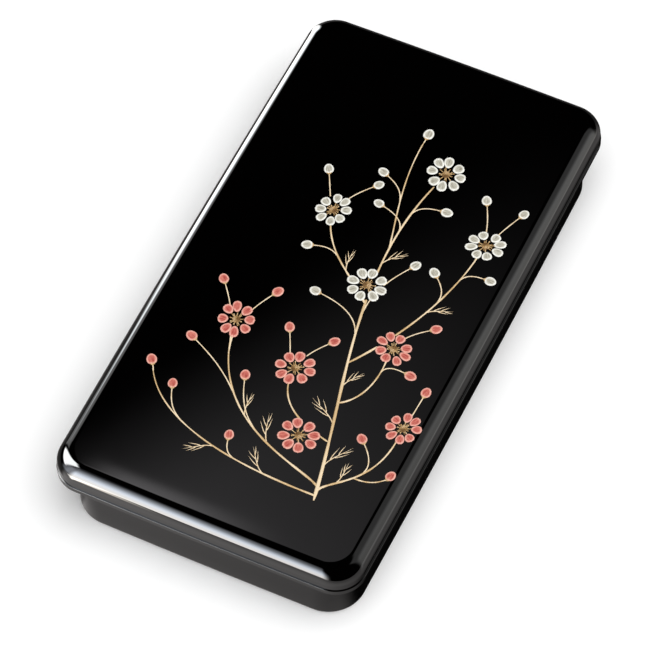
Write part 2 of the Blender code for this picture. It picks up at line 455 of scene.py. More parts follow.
# The painted spray: cosmos on thin gold stems. Places are x and y on the lid, in metres, x to the right and
# y towards the far end.
spray = {
    "relief": 0.00021,         # how far a petal's rim stands above the lacquer
    "strokeRelief": 0.00011,
    "sink": 0.00008,           # how far each island reaches below the surface
    "behindDepth": 0.00040,    # and a stem behind a flower
    "behindShare": 0.70,       # a stem is behind a flower within this share of its radius
    "behindEdge": 0.0012,      # and sinks over this length
    "shoulderReach": 0.98,     # the share of the shoulder's curve that paint can follow
    # stems: start, two handles, end, width at the start and at the end
    "stems": {
        "tall": ((0.033, -0.086), (0.024, -0.04), (0.002, 0.01), (0.016, 0.058), 0.0012, 0.0006),
        "right": ((0.0191, -0.0293), (0.029, -0.015), (0.041, 0.008), (0.0425, 0.034), 0.0008, 0.0005),
        "left": ((0.0139, -0.0037), (0.004, 0.006), (-0.008, 0.01), (-0.014, 0.026), 0.0008, 0.0005),
        "low": ((0.0318, -0.0805), (0.025, -0.075), (-0.016, -0.074), (-0.025, -0.032), 0.0009, 0.0005),
        "inner": ((0.027, -0.0621), (0.018, -0.06), (0.004, -0.056), (0.003, -0.042), 0.0007, 0.0005),
        "outer": ((0.0232, -0.046), (0.03, -0.042), (0.033, -0.032), (0.031, -0.02), 0.0007, 0.0005),
        "edge": ((0.0322, -0.0819), (0.034, -0.076), (0.05, -0.072), (0.049, -0.049), 0.0009, 0.0005),
        "trail": ((0.0326, -0.084), (0.023, -0.084), (-0.03, -0.086), (-0.044, -0.059), 0.0008, 0.0004),
        "over": ((0.0417, -0.0719), (0.045, -0.072), (0.049, -0.0715), (0.0522, -0.068), 0.0006, 0.0004),
        "crest": ((0.0115, 0.0217), (0.009, 0.033), (0.002, 0.052), (0.003, 0.072), 0.0006, 0.0004),
    },
    # flowers: place, radius, turn, share that is left across the squash, direction of the squash, colour
    "flowers": (
        ((0.0165, 0.0605), 0.0082, 8, 0.90, 40, "silver"),
        ((0.0430, 0.0375), 0.0078, 30, 0.82, 110, "silver"),
        ((-0.0145, 0.0290), 0.0076, 15, 0.86, 160, "silver"),
        ((0.0110, 0.0040), 0.0079, 0, 0.94, 80, "silver"),
        ((-0.0255, -0.0290), 0.0080, 20, 0.86, 20, "coral"),
        ((0.0030, -0.0390), 0.0078, 5, 0.92, 120, "coral"),
        ((0.0315, -0.0170), 0.0077, 33, 0.84, 60, "coral"),
        ((0.0490, -0.0460), 0.0072, 12, 0.86, 150, "coral"),
        ((0.0165, -0.0640), 0.0079, 25, 0.92, 90, "coral"),
    ),
    # buds: the stem, how far along it, place of the bud, its length and colour
    "buds": (
        ("crest", 0.99, (0.0030, 0.0745), 0.0048, "silver"),
        ("crest", 0.45, (-0.0050, 0.0520), 0.0044, "silver"),
        ("tall", 0.86, (0.0240, 0.0450), 0.0046, "silver"),
        ("tall", 0.80, (-0.0005, 0.0385), 0.0042, "silver"),
        ("right", 0.62, (0.0310, 0.0190), 0.0046, "silver"),
        ("right", 0.80, (0.0510, 0.0240), 0.0044, "silver"),
        ("right", 0.90, (0.0350, 0.0560), 0.0044, "silver"),
        ("right", 0.92, (0.0500, 0.0560), 0.0042, "silver"),
        ("left", 0.55, (-0.0165, 0.0110), 0.0044, "silver"),
        ("left", 0.92, (-0.0240, 0.0450), 0.0044, "silver"),
        ("left", 0.88, (-0.0040, 0.0460), 0.0042, "silver"),
        ("tall", 0.52, (0.0235, 0.0190), 0.0044, "silver"),
        ("tall", 0.47, (-0.0050, -0.0060), 0.0044, "silver"),
        ("low", 0.70, (-0.0370, -0.0420), 0.0046, "coral"),
        ("low", 0.93, (-0.0375, -0.0150), 0.0044, "coral"),
        ("low", 0.90, (-0.0170, -0.0120), 0.0046, "coral"),
        ("low", 0.50, (-0.0120, -0.0490), 0.0044, "coral"),
        ("inner", 0.85, (-0.0065, -0.0240), 0.0044, "coral"),
        ("inner", 0.90, (0.0110, -0.0230), 0.0044, "coral"),
        ("outer", 0.75, (0.0420, -0.0250), 0.0046, "coral"),
        ("outer", 0.95, (0.0420, -0.0030), 0.0044, "coral"),
        ("edge", 0.55, (0.0375, -0.0560), 0.0044, "coral"),
        ("edge", 0.93, (0.0500, -0.0290), 0.0044, "coral"),
        ("over", 0.99, (0.0533, -0.0657), 0.0042, "coral"),
        ("trail", 0.99, (-0.0455, -0.0570), 0.0046, "coral"),
        ("trail", 0.70, (-0.0340, -0.0630), 0.0042, "coral"),
        ("trail", 0.45, (-0.0060, -0.0740), 0.0042, "coral"),
    ),
    # feathery leaves: the stem, how far along it, the side it grows on, its length
    "leaves": (
        ("tall", 0.10, 1, 0.013), ("tall", 0.22, -1, 0.014), ("tall", 0.33, 1, 0.010),
        ("tall", 0.70, 1, 0.011), ("right", 0.56, 1, 0.010), ("left", 0.40, 1, 0.010),
        ("low", 0.45, 1, 0.013), ("low", 0.62, 1, 0.010), ("edge", 0.30, -1, 0.010),
        ("trail", 0.33, 1, 0.012), ("trail", 0.55, -1, 0.011),
    ),
}


# Height of the lid's upper surface: flat, then the shoulder's quarter ellipse from its border outward along x
def lidHeight(x, y):
    halfX = halfWidth - shell["sideBow"] * (y / halfLength) ** 2
    past = (np.abs(x) - (halfX - shell["shoulderIn"])) / shell["shoulderIn"]
    past = np.clip(past, 0, spray["shoulderReach"])
    return topHeight - shell["shoulderDrop"] * (1 - np.sqrt(1 - past ** 2))


# Formula: a cubic Bezier curve, its four points weighted by (1-t)^3, 3t(1-t)^2, 3t^2(1-t) and t^3
def bezier(controls, t):
    weights = np.stack([(1 - t) ** 3, 3 * t * (1 - t) ** 2, 3 * t ** 2 * (1 - t), t ** 3], axis=-1)
    return weights @ np.asarray(controls, float)


# unit directions at the given angles
def turned(angles):
    return np.stack([np.cos(angles), np.sin(angles)], axis=-1)


# how far a place lies inside the nearest flower: 1 within the share of its radius, 0 well outside
def underFlower(places):
    centres = np.array([flower[0] for flower in spray["flowers"]])
    radii = np.array([flower[1] for flower in spray["flowers"]])
    distance = np.linalg.norm(places[..., None, :] - centres, axis=-1)
    inside = radii * spray["behindShare"] - distance
    return np.clip(inside.max(axis=-1) / spray["behindEdge"] + 0.5, 0, 1)


# How a brush draws its lines. A swing is a share, how fast it goes along the line, and its part of the line's
# phase.
brushLine = {
    "phases": (4000, 2500),            # a line's phase, for each metre of x at its start and of y at its end
    "swings": ((0.10, 23, 1.0), (0.07, 61, 1.7)),      # of its width
    "toneSwing": (0.18, 17),
    # a painted highlight: how much paler the tone is along each line's crest than at its edges
    "crestHighlight": 0.25,
    "blunt": 0.004,                    # shares of the length: how blunt its ends are
    "start": 0.03,                     # and over how much it widens
    "startPower": 0.5,
    "tipPower": 0.7,
    "fullWidth": 0.001,                # a line this wide has the full relief
    "reliefShares": (0.35, 1.2),       # least and most
}
# rings along a line, points round it, share of it that narrows to the tip, tone, height that it starts from
lineKinds = {
    "stems": {"rows": 90, "around": 12, "tip": 0.05, "tone": 0.52},
    "stalks": {"rows": 24, "around": 8, "tip": 0.04, "tone": 0.80},
    "sepals": {"rows": 8, "around": 8, "tip": 0.6, "tone": 0.30, "base": 0.00016},
    "needles": {"rows": 14, "around": 8, "tip": 0.5, "tone": 0.68},
    "stamens": {"rows": 6, "around": 6, "tip": 0.18, "tone": 0.30, "behind": False},
}


# Formula: a lens-shaped profile carried along each curve. The width passes from its first value to its last,
# wavers by two sines as a brush line does, and closes to a point over the tip's share of the length. What
# grows behind a flower sinks below the surface there, so the flower's middle stays clear.
def strokeRings(strokes, rows, around, tip, tone, base=0.0, behind=True):
    b = brushLine
    controls = np.array([stroke[:4] for stroke in strokes], float)
    first, last = (np.array([stroke[k] for stroke in strokes])[:, None] for k in (4, 5))
    t = np.linspace(0, 1, rows)
    path = bezier(controls, t)
    along = np.gradient(path, axis=1)
    along /= np.linalg.norm(along, axis=-1, keepdims=True)
    side = np.stack([along[..., 1], -along[..., 0]], axis=-1)
    phase = controls[:, 0, :1] * b["phases"][0] + controls[:, 3, 1:] * b["phases"][1]
    waver = 1
    for size, speed, part in b["swings"]:
        waver = waver + size * np.sin(speed * t + part * phase)
    narrowing = np.minimum(1, (1 - t + b["blunt"]) / tip) ** b["tipPower"]
    widening = np.minimum(1, (t + b["blunt"]) / b["start"]) ** b["startPower"]
    width = (first + (last - first) * t) * waver * narrowing * widening
    angle = np.linspace(0, 2 * np.pi, around, endpoint=False)
    across = width[..., None] / 2 * np.cos(angle)
    spread = path[:, :, None, :] + side[:, :, None, :] * across[..., None]
    relief = base + spray["strokeRelief"] * np.clip(width / b["fullWidth"], *b["reliefShares"])[..., None]
    lift = np.where(np.sin(angle) > 0, relief, spray["sink"]) * np.sin(angle)
    if behind:
        lift = lift - spray["behindDepth"] * underFlower(path)[..., None]
    height = lidHeight(spread[..., 0], spread[..., 1]) + lift
    # each line's crest is painted paler, a painted highlight, and the tone also swings along the line
    toneSize, toneSpeed = b["toneSwing"]
    tones = tone + b["crestHighlight"] * np.sin(angle) + toneSize * np.sin(toneSpeed * t + phase)[..., None]
    return np.concatenate([spread, height[..., None]], axis=-1), np.broadcast_to(tones, height.shape)


petal = {
    "count": 8,
    "length": 0.60,            # shares of a flower's radius
    "width": 0.485,
    "lengthSwing": (0.05, 2, 700),     # how unevenly long they are: how much, how fast round, phase by y
    "turnSwing": (0.05, 3, 900),       # and how unevenly turned, with the phase by x
    "points": 28,              # round the outline
    "swell": 0.15,             # how much fuller an outline is towards its tip
    "budSwell": -0.10,
    "notch": 0.05,             # depth of the two notches as a share of the length
    "notchPlace": (0.30, 0.13),        # their angle from the tip and their width
    "streakStep": (900, 1700),         # each petal's own place in its streaks, for each metre of x and y
    # rings from the middle out and under: share of the outline, height as a share of the relief, tone. The
    # last two are sunk below the surface.
    "rings": ((0.10, 0.76, 0.00), (0.34, 0.76, 0.02), (0.54, 0.78, 0.08), (0.66, 0.86, 0.36),
              (0.76, 1.00, 0.88), (0.88, 0.98, 1.00), (0.96, 0.66, 1.00), (1.00, 0.16, 0.90),
              (1.00, 0.00, 0.80), (0.50, 0.00, 0.80)),
}


# Formula: each outline is an egg, along = cos(a) and across = sin(a) * (1 + swell * cos(a)), with two small
# notches cut in its tip, shrunk ring by ring towards its middle
def eggRings(places, directions, lengths, widths, swell, notch):
    angle = np.linspace(0, 2 * np.pi, petal["points"], endpoint=False)
    fromTip = np.where(angle > np.pi, 2 * np.pi - angle, angle)
    notchPlace, notchWidth = petal["notchPlace"]
    cut = np.exp(-((fromTip - notchPlace) / notchWidth) ** 2)
    along = lengths[:, None] / 2 * (np.cos(angle) - 2 * notch * cut)
    across = widths[:, None] / 2 * np.sin(angle) * (1 + swell * np.cos(angle))
    share, height, tone = (np.array(column) for column in zip(*petal["rings"]))
    lift = height * spray["relief"]
    lift[-2:] = -spray["sink"]
    heading = turned(directions)[:, None, None, :]
    beside = turned(directions)[:, None, None, ::-1] * (-1, 1)
    local = heading * along[:, None, :, None] + beside * across[:, None, :, None]
    spread = places[:, None, None, :] + share[None, :, None, None] * local
    height = lidHeight(spread[..., 0], spread[..., 1]) + lift[None, :, None]
    stack = np.concatenate([spread, height[..., None]], axis=-1)
    ownPlace = (places @ petal["streakStep"])[:, None, None]
    return (stack, tone[None, :, None], share[:, None] * np.sin(angle) + 0 * ownPlace,
            share[:, None] * np.cos(angle) + ownPlace)


domeTurns = (72, 48, 24, 0)      # degrees up round a dot's dome, from its inmost ring to its rim


# Formula: a dot is a low dome, its rings cosines and its heights sines of equal angles
def dotRings(dots, around):
    places, radii, heights = (np.array(column) for column in zip(*dots))
    rise = np.radians(domeTurns)
    share = np.append(np.cos(rise), 1.0)
    lift = heights[:, None] * np.append(np.sin(rise), 0.0)
    lift[:, -1] = -spray["sink"]
    circle = turned(np.linspace(0, 2 * np.pi, around, endpoint=False))
    spread = places[:, None, None, :] + radii[:, None, None, None] * share[None, :, None, None] * circle
    height = lidHeight(spread[..., 0], spread[..., 1]) + lift[..., None]
    return np.concatenate([spread, height[..., None]], axis=-1)


# Formula: a flower's own plane is squashed to a share of its size along one direction, as a tilted disc looks
def squashed(offsets, share, direction):
    axis = np.array([math.cos(math.radians(direction)), math.sin(math.radians(direction))])
    return offsets - (1 - share) * (offsets @ axis)[..., None] * axis


# Formula: petals at even turns round the centre, each a little uneven in its turn and its length by a sine
def petalShapes(centre, radius, turn, share, direction):
    stretch, stretchSpeed, stretchPhase = petal["lengthSwing"]
    swing, swingSpeed, swingPhase = petal["turnSwing"]
    angles = math.radians(turn) + np.arange(petal["count"]) * 2 * np.pi / petal["count"]
    angles = angles + swing * np.sin(angles * swingSpeed + centre[0] * swingPhase)
    length = 1 + stretch * np.sin(angles * stretchSpeed + centre[1] * stretchPhase)
    length = radius * petal["length"] * length
    middles = squashed(turned(angles) * (radius - length / 2)[:, None], share, direction)
    tips = squashed(turned(angles) * radius, share, direction)
    headings = np.arctan2(tips[:, 1], tips[:, 0])
    reach = np.linalg.norm(tips, axis=1) / radius
    sideways = np.linalg.norm(squashed(turned(angles + np.pi / 2), share, direction), axis=1)
    return centre + middles, headings, length * reach, radius * petal["width"] * sideways


heart = {
    "stamens": 13,
    "stamenTurn": (0.4, 0.15, 2.1, 500),   # radians, its swing, the swing's speed and its phase by x
    "stamenStart": 0.10,                   # shares of the flower's radius
    "stamenEnd": (0.34, 0.05, 2.4),        # the same, with its swing and the swing's speed
    "stamenHandles": (0.33, 0.66),
    "stamenWidth": 0.00030,
    "anther": (0.00030, 0.00030),          # radius and height
    "disc": (0.00155, 0.00012),
    "floret": (0.00024, 0.00034),
    "florets": 30,
    "floretTurn": 137.508,                 # degrees from one to the next, as on a sunflower
    "floretReach": 0.0015,
    "dotTone": (0.34, 0.34, 2.4),          # tone, its swing and the swing's speed
    "discPoints": 20,
    "dotPoints": 8,
}


# Formula: stamens are straight lines out from the centre, each with a dot at its end. The florets are dots on
# a spiral, at a radius that grows with the square root of their number.
def heartShapes(centre, radius, share, direction):
    h = heart
    k = np.arange(h["stamens"])
    turn, swing, speed, phase = h["stamenTurn"]
    spokes = turned(k * 2 * np.pi / h["stamens"] + turn + swing * np.sin(k * speed + centre[0] * phase))
    starts = centre + squashed(spokes * h["stamenStart"] * radius, share, direction)
    reach, swing, speed = h["stamenEnd"]
    ends = spokes * radius * (reach + swing * np.cos(k * speed))[:, None]
    ends = centre + squashed(ends, share, direction)
    (near, far), width = h["stamenHandles"], h["stamenWidth"]
    stamens = [(p, p + (q - p) * near, p + (q - p) * far, q, width, width) for p, q in zip(starts, ends)]
    k = np.arange(h["florets"])
    spiral = turned(k * math.radians(h["floretTurn"]))
    spiral = spiral * (h["floretReach"] * np.sqrt((k + 0.5) / h["florets"]))[:, None]
    dots = [(place, *h["anther"]) for place in ends]
    dots += [(place, *h["floret"]) for place in centre + squashed(spiral, share, direction)]
    return stamens, dots


bud = {
    "lead": 0.02,              # a bud's stalk leaves the stem along its chord over this share
    "lastLead": (0.97, 1.0),   # and at the stem's tip along this one
    # shares of the distance from stem to bud: how far straight on lies what the bud points away from, and
    # the stalk's handles
    "aim": 0.45,
    "handles": (0.40, 0.30),
    "overlap": 0.0004,         # how far the stalk reaches into the bud
    "stalkWidths": (0.00045, 0.00038),
    "width": 0.84,             # share of the bud's length
    "sepalLength": (0.42, 0.12),       # the same, and how much shorter the outer ones are
    "sepalLean": 0.36,
    "sepalRoot": 0.0003,
    "sepalHandles": (0.0004, 0.0003),
    "sepalBend": 0.6,
    "sepalWidths": (0.00055, 0.00030),
}


# Formula: a stalk is a curve that leaves the stem in the stem's direction and meets the bud in the bud's.
# Three sepals spread from where they meet.
def budShapes():
    eggs = {"coral": [], "silver": []}
    stalks, sepals = [], []
    for stem, share, place, length, colour in spray["buds"]:
        place = np.array(place)
        chord = (share, share + bud["lead"]) if share < bud["lastLead"][0] else bud["lastLead"]
        root, ahead = bezier(spray["stems"][stem][:4], np.array(chord))
        onward = (ahead - root) / np.linalg.norm(ahead - root)
        reach = np.linalg.norm(place - root)
        heading = place - (root + onward * reach * bud["aim"])
        heading = heading / np.linalg.norm(heading)
        base = place - heading * length / 2
        stalks.append((root, root + onward * reach * bud["handles"][0],
                       base - heading * reach * bud["handles"][1], base + heading * bud["overlap"],
                       *bud["stalkWidths"]))
        eggs[colour].append((place, math.atan2(heading[1], heading[0]), length, length * bud["width"]))
        longest, shorter = bud["sepalLength"]
        for lean in (-1, 0, 1):
            aside = np.array([-heading[1], heading[0]]) * lean
            tip = base + heading * length * (longest - shorter * abs(lean))
            tip = tip + aside * length * bud["sepalLean"]
            sepals.append((base - heading * bud["sepalRoot"], base + aside * bud["sepalHandles"][0],
                           base + (tip - base) * bud["sepalBend"] + aside * bud["sepalHandles"][1], tip,
                           *bud["sepalWidths"]))
    return eggs, stalks, sepals


leaf = {
    "lead": 0.02,              # share of the stem whose chord is its direction
    "turn": 0.75,              # radians that the leaf turns away from the stem
    "startTurn": 0.30,
    "spineHandles": (0.3, 0.7),
    "width": 0.00036,          # of a needle
    "spineWidths": (1.2, 0.7),         # against a needle's
    "tipWidth": 0.6,           # of a needle, against its root's
    "needles": ((0.30, 1), (0.42, -1), (0.55, 1), (0.68, -1)),     # share along the spine, and the side
    "slant": 0.62,             # radians between a needle and the spine
    "curl": 0.25,
    "needleLength": (0.62, 0.45),      # share of the leaf's, and how fast it falls along the spine
    "needleHandles": (0.35, 0.7),
}


# a needle's four points, from the angle at which it leaves to the angle at which it ends
def needle(start, leaving, ending, length, handles):
    first, last = turned(np.array([leaving, ending]))
    return (start, start + first * length * handles[0], start + last * length * handles[1],
            start + last * length)


# Formula: a feathery leaf is one needle with pairs of shorter needles that leave it at a slant
def leafStrokes():
    strokes = []
    for stem, share, side, length in spray["leaves"]:
        root, ahead = bezier(spray["stems"][stem][:4], np.array([share, share + leaf["lead"]]))
        onward = math.atan2(*(ahead - root)[::-1])
        heading = onward - side * leaf["turn"]
        spine = needle(root, onward - side * leaf["startTurn"], heading, length, leaf["spineHandles"])
        strokes.append((*spine, *(leaf["width"] * part for part in leaf["spineWidths"])))
        for part, slant in leaf["needles"]:
            start = bezier(spine, np.array([part]))[0]
            away = heading + slant * leaf["slant"]
            reach = length * (leaf["needleLength"][0] - leaf["needleLength"][1] * part)
            shape = needle(start, away, away - slant * leaf["curl"], reach, leaf["needleHandles"])
            strokes.append((*shape, leaf["width"], leaf["width"] * leaf["tipWidth"]))
    return strokes


# petals and buds in their two colours, the flowers' hearts, and all that is drawn as lines
def makeSpray():
    petals = {"coral": [], "silver": []}
    stamens, dots = [], []
    for centre, radius, turn, share, direction, colour in spray["flowers"]:
        centre = np.array(centre)
        petals[colour].append(petalShapes(centre, radius, turn, share, direction))
        ownStamens, ownDots = heartShapes(centre, radius, share, direction)
        stamens += ownStamens
        dots += ownDots
    eggs, stalks, sepals = budShapes()
    for colour, material, slot in (("coral", coral, "coral_colour"),
                                   ("silver", silver, "silver_white_colour")):
        allPetals = [np.concatenate(group) for group in zip(*petals[colour])]
        allBuds = [np.array(group) for group in zip(*eggs[colour])]
        batches = [eggRings(*allPetals, petal["swell"], petal["notch"]),
                   eggRings(*allBuds, petal["budSwell"], 0.0)]
        ringsToPiece(colour + "Petals", batches, material, ["tone", "across", "along"])
    discs = [(np.array(flower[0]), *heart["disc"]) for flower in spray["flowers"]]
    tone, swing, speed = heart["dotTone"]
    dotTones = tone + swing * np.sin(np.arange(len(dots)) * speed)
    ringsToPiece("goldCentres", [
        strokeRings(stamens, **lineKinds["stamens"]),
        (dotRings(discs, heart["discPoints"]), 0.0),
        (dotRings(dots, heart["dotPoints"]), dotTones[:, None, None]),
    ], gold, ["tone"])
    lines = {"stems": list(spray["stems"].values()), "stalks": stalks, "sepals": sepals,
             "needles": leafStrokes()}
    batches = [strokeRings(strokes, **lineKinds[kind]) for kind, strokes in lines.items()]
    ringsToPiece("goldStems", batches, gold, ["tone"])


makeSpray()
print("spray painted")


# Camera

photoView = {
    "azimuth": 28.117,          # degrees, from behind the near short end towards the right
    "elevation": 56.549,
    "roll": -2.897,
    "distance": 1.51066,
    "slide": (0.003986, -0.003730),   # how far the box sits right of and below the view's axis
    "focal": 4085.96,           # pixels on a frame of 653
    "frame": 653,
    "sensor": 36.0,
    "clip": (0.05, 20.0),
}


# Formula: back leads from the box to the camera by azimuth and elevation, and the roll turns what is level
# and what rises into right and up
def makeCamera():
    v = photoView
    azimuth, elevation, roll = (math.radians(v[key]) for key in ("azimuth", "elevation", "roll"))
    back = Vector((math.sin(azimuth) * math.cos(elevation), -math.cos(azimuth) * math.cos(elevation),
                   math.sin(elevation)))
    level = Vector((math.cos(azimuth), math.sin(azimuth), 0.0))
    rise = back.cross(level)
    right = level * math.cos(roll) + rise * math.sin(roll)
    up = rise * math.cos(roll) - level * math.sin(roll)
    data = bpy.data.cameras.new("photoCamera")
    data.sensor_width = v["sensor"]
    data.lens = v["sensor"] * v["focal"] / v["frame"]
    data.clip_start, data.clip_end = v["clip"]
    camera = bpy.data.objects.new("photoCamera", data)
    bpy.context.scene.collection.objects.link(camera)
    place = back * v["distance"] - right * v["slide"][0] - up * v["slide"][1]
    camera.matrix_world = Matrix.Translation(place) @ Matrix((right, up, back)).transposed().to_4x4()
    bpy.context.scene.camera = camera
    return place


photoPlace = makeCamera()
print("camera set")


# Studio

studio = {
    "floorReach": 4.0,
    "floorColour": (0.93, 0.93, 0.93),
    "floorBlotch": 0.4,
    "floorShade": 0.985,              # the darkest blotch against the palest
    "skyStrength": 3.13,
    "skyFocus": 3.12,                 # how closely the light gathers overhead
    "skySlope": (1.50, -0.97, 0.0),   # it leans towards the right and the near end
    "skyRange": (-1.0, 2.0),          # over which the lean counts
}


# Formula: the light from a direction is strength * (1 + lean) * height ^ focus, where lean is the
# direction's part along the slope
def makeWorld():
    world = bpy.data.worlds.new("softWhite")
    world.use_nodes = True
    tree = world.node_tree
    background = tree.nodes["Background"]
    background.inputs["Color"].default_value = (1.0, 1.0, 1.0, 1.0)
    direction = addNode(tree, "ShaderNodeTexCoord").outputs["Generated"]
    lean = addNode(tree, "ShaderNodeVectorMath", operation="DOT_PRODUCT")
    tree.links.new(direction, lean.inputs[0])
    lean.inputs[1].default_value = studio["skySlope"]
    parts = addNode(tree, "ShaderNodeSeparateXYZ")
    tree.links.new(direction, parts.inputs[0])
    height = remap(tree, parts.outputs["Z"], 0.0, 1.0, 0.0, 1.0)
    gathered = calculate(tree, "POWER", height, studio["skyFocus"])
    low, high = studio["skyRange"]
    leaning = remap(tree, lean.outputs["Value"], low, high, 0.0, (high - low) * studio["skyStrength"])
    tree.links.new(calculate(tree, "MULTIPLY", leaning, gathered), background.inputs["Strength"])
    world.cycles_visibility.glossy = False       # polished lacquer mirrors the sheets below, not the sky
    bpy.context.scene.world = world
    bpy.context.scene.view_settings.view_transform = "Standard"


# a wide square of pale paper with large faint blotches
def makeFloor():
    reach = studio["floorReach"]
    corners = [(-reach, -reach, 0), (reach, -reach, 0), (reach, reach, 0), (-reach, reach, 0)]
    material, tree, shader = paint("palePaper", {"Roughness": 0.9, "Specular IOR Level": 0.0})
    pale = studio["floorColour"]
    shaded = tuple(studio["floorShade"] * part for part in pale)
    tint = ramp(tree, grain(tree, studio["floorBlotch"]), ((0.0, shaded), (1.0, pale)))
    tree.links.new(tint, shader.inputs["Base Color"])
    floor = addPiece("paleFloor", corners, [(0, 1, 2, 3)], material)
    floor.visible_glossy = False


# Formula: a grid of points joined by quads wherever one of a quad's points is kept. Only glossy rays meet it.
def addSheet(name, points, keep, material):
    rows, columns = points.shape[:2]
    row, column = np.meshgrid(np.arange(rows - 1), np.arange(columns - 1), indexing="ij")
    first = (row * columns + column).ravel()
    quads = np.stack([first, first + 1, first + columns + 1, first + columns], axis=-1)
    quads = quads[keep.ravel()[quads].any(axis=1)]
    sheet = addPiece(name, points.reshape(-1, 3).tolist(), quads.tolist(), material)
    sheet.visible_camera = False
    sheet.visible_diffuse = False
    sheet.visible_shadow = False
    return sheet


leastGlow = 0.001      # a glow sheet has no quads where it is dimmer than this


# Glow sheets are the studio as the lacquer mirrors it, with a colour at each point that is the light sent
# back from there. Each lets through what lies behind it.
def makeGlow(name, points, colours):
    material = bpy.data.materials.new(name)
    material.use_nodes = True
    material.cycles.emission_sampling = "NONE"
    tree = material.node_tree
    tree.nodes.clear()
    emission = addNode(tree, "ShaderNodeEmission")
    stored = addNode(tree, "ShaderNodeAttribute", attribute_name="glow")
    tree.links.new(stored.outputs["Color"], emission.inputs["Color"])
    both = addNode(tree, "ShaderNodeAddShader")
    tree.links.new(emission.outputs[0], both.inputs[0])
    tree.links.new(addNode(tree, "ShaderNodeBsdfTransparent").outputs[0], both.inputs[1])
    tree.links.new(both.outputs[0], addNode(tree, "ShaderNodeOutputMaterial").inputs["Surface"])
    sheet = addSheet(name, points, colours.max(axis=-1) > leastGlow, material)
    light = np.concatenate([colours, np.ones((*colours.shape[:2], 1))], axis=-1).astype(np.float32)
    glow = sheet.data.attributes.new("glow", "FLOAT_COLOR", "POINT")
    glow.data.foreach_set("color", light.ravel())


# rings that end with the column they start with
def closedRings(values):
    return np.concatenate([values, values[:, :1]], axis=1)


# 0 well below the edge and 1 well above it, along a smooth step of the given width
def softEdge(value, edge, width):
    t = np.clip((value - edge) / width + 0.5, 0, 1)
    return t * t * (3 - 2 * t)


# the other way round: 1 well below the edge and 0 well above it
def softEnd(value, edge, width):
    return softEdge(-value, -edge, width)


# Softboxes by direction, in degrees. Azimuth 0 is past the far end, 90 to the right and -180 past the near
# end. Each has its left and right edge, its bottom and top edge, how wide these four fade (the light is half
# at an edge), its lean, its strength, and its colour low and high up. The lean is how much the bottom and the
# top edge climb for each degree of azimuth from the third number.
softboxes = {
    "corner": ((-113, -76), (21, 65), (8, 5, 5, 5), (0, 0, 0), 24, (1.0, 1.0, 1.0), (0.97, 1.0, 1.0)),
    "front": ((-176, -147), (-1, 34), (30, 20, 8, 34), (0, 0.6, -165), 19,
              (1.0, 0.97, 0.93), (0.88, 0.96, 1.08)),
    "frontFoot": ((-162.2, -150), (-17, -1), (1.6, 6, 8, 10), (0, 0, 0), 15,
                  (1.0, 0.92, 0.81), (1.0, 0.92, 0.81)),
    "link": ((-160, -124), (2, 60), (14, 14, 16, 9), (0, 0.30, -143), 2.3,
             (0.95, 1.0, 1.1), (0.95, 1.0, 1.1)),
    "between": ((-140, -112), (6, 48), (14, 10, 16, 16), (0, 0, 0), 2.4, (0.95, 1.0, 1.1), (0.95, 1.0, 1.1)),
    "left": ((-61.5, -43), (-9, 23), (2, 4, 5, 12), (-1.5, 0, -57.5), 16,
             (1.0, 0.99, 0.97), (0.93, 0.98, 1.02)),
    "leftLink": ((-69, -52), (8, 42), (3, 4, 8, 8), (0, 0, 0), 2.0, (1.0, 1.0, 1.0), (1.0, 1.0, 1.0)),
    "right": ((44, 62), (-6, 39), (24, 30, 8, 26), (0, 0, 0), 1.6, (1.0, 0.98, 0.92), (1.0, 1.0, 0.98)),
    "rightSpill": ((1, 72), (-8, 66), (12, 10, 10, 6), (-1.3, 0, 60), 0.6, (1.0, 1.0, 1.0), (1.0, 1.0, 1.0)),
}


# Formula: the sum of the softboxes, each the product of four soft edges, its colour passing from low to high
# with elevation
def softboxLight(azimuth, elevation):
    light = np.zeros((*azimuth.shape, 3))
    for (left, right), (bottom, top), soft, lean, strength, low, high in softboxes.values():
        aside = azimuth - lean[2]
        share = (softEdge(azimuth, left, soft[0]) * softEnd(azimuth, right, soft[1])
                 * softEdge(elevation, bottom + lean[0] * aside, soft[2])
                 * softEnd(elevation, top + lean[1] * aside, soft[3]))
        climb = softEdge(elevation, (bottom + top) / 2, top - bottom)[..., None]
        light += strength * share[..., None] * (np.array(low) * (1 - climb) + np.array(high) * climb)
    return light


# azimuths that run on past -180 instead of jumping to 180 beyond the seam
def azimuthOf(x, y, seam):
    azimuth = np.degrees(np.arctan2(x, y))
    return np.where(azimuth > seam, azimuth - 360, azimuth)


# The front softbox's own streak on the table: a wedge that opens from its tip between two azimuths
tableStreak = {
    "tip": (-0.080, -0.178),
    "left": (-170, 4),         # each edge's azimuth and how wide it fades
    "right": (-137, 8),
    "start": (0.010, 0.024),   # where it begins past the tip, and over what length
    "strength": 14.0,
    "colour": (1.0, 0.97, 0.90),
    "seam": 90,                # its azimuths run on past -180 down from here
}


# Formula: two soft edges by azimuth from the tip and one by distance from it, multiplied
def streakLight(x, y):
    t = tableStreak
    fromTipX, fromTipY = x - t["tip"][0], y - t["tip"][1]
    opening = azimuthOf(fromTipX, fromTipY, t["seam"])
    share = softEdge(opening, *t["left"]) * softEnd(opening, *t["right"])
    share = share * softEdge(np.hypot(fromTipX, fromTipY), *t["start"])
    return t["strength"] * share[..., None] * np.array(t["colour"])


# The softboxes stand close to the shoulder, so they draw its highlights and stay out of the flat top
shoulderGlow = {
    "reach": 0.015,
    "steps": 240,
    "seam": 150,
    "leastDescent": 0.003,     # a ray that falls less steeply doesn't reach the table
    "edgeOn": -0.02,           # the shoulder turns out of sight here
    "flatness": 1e-12,         # a normal this near level counts as upward
}


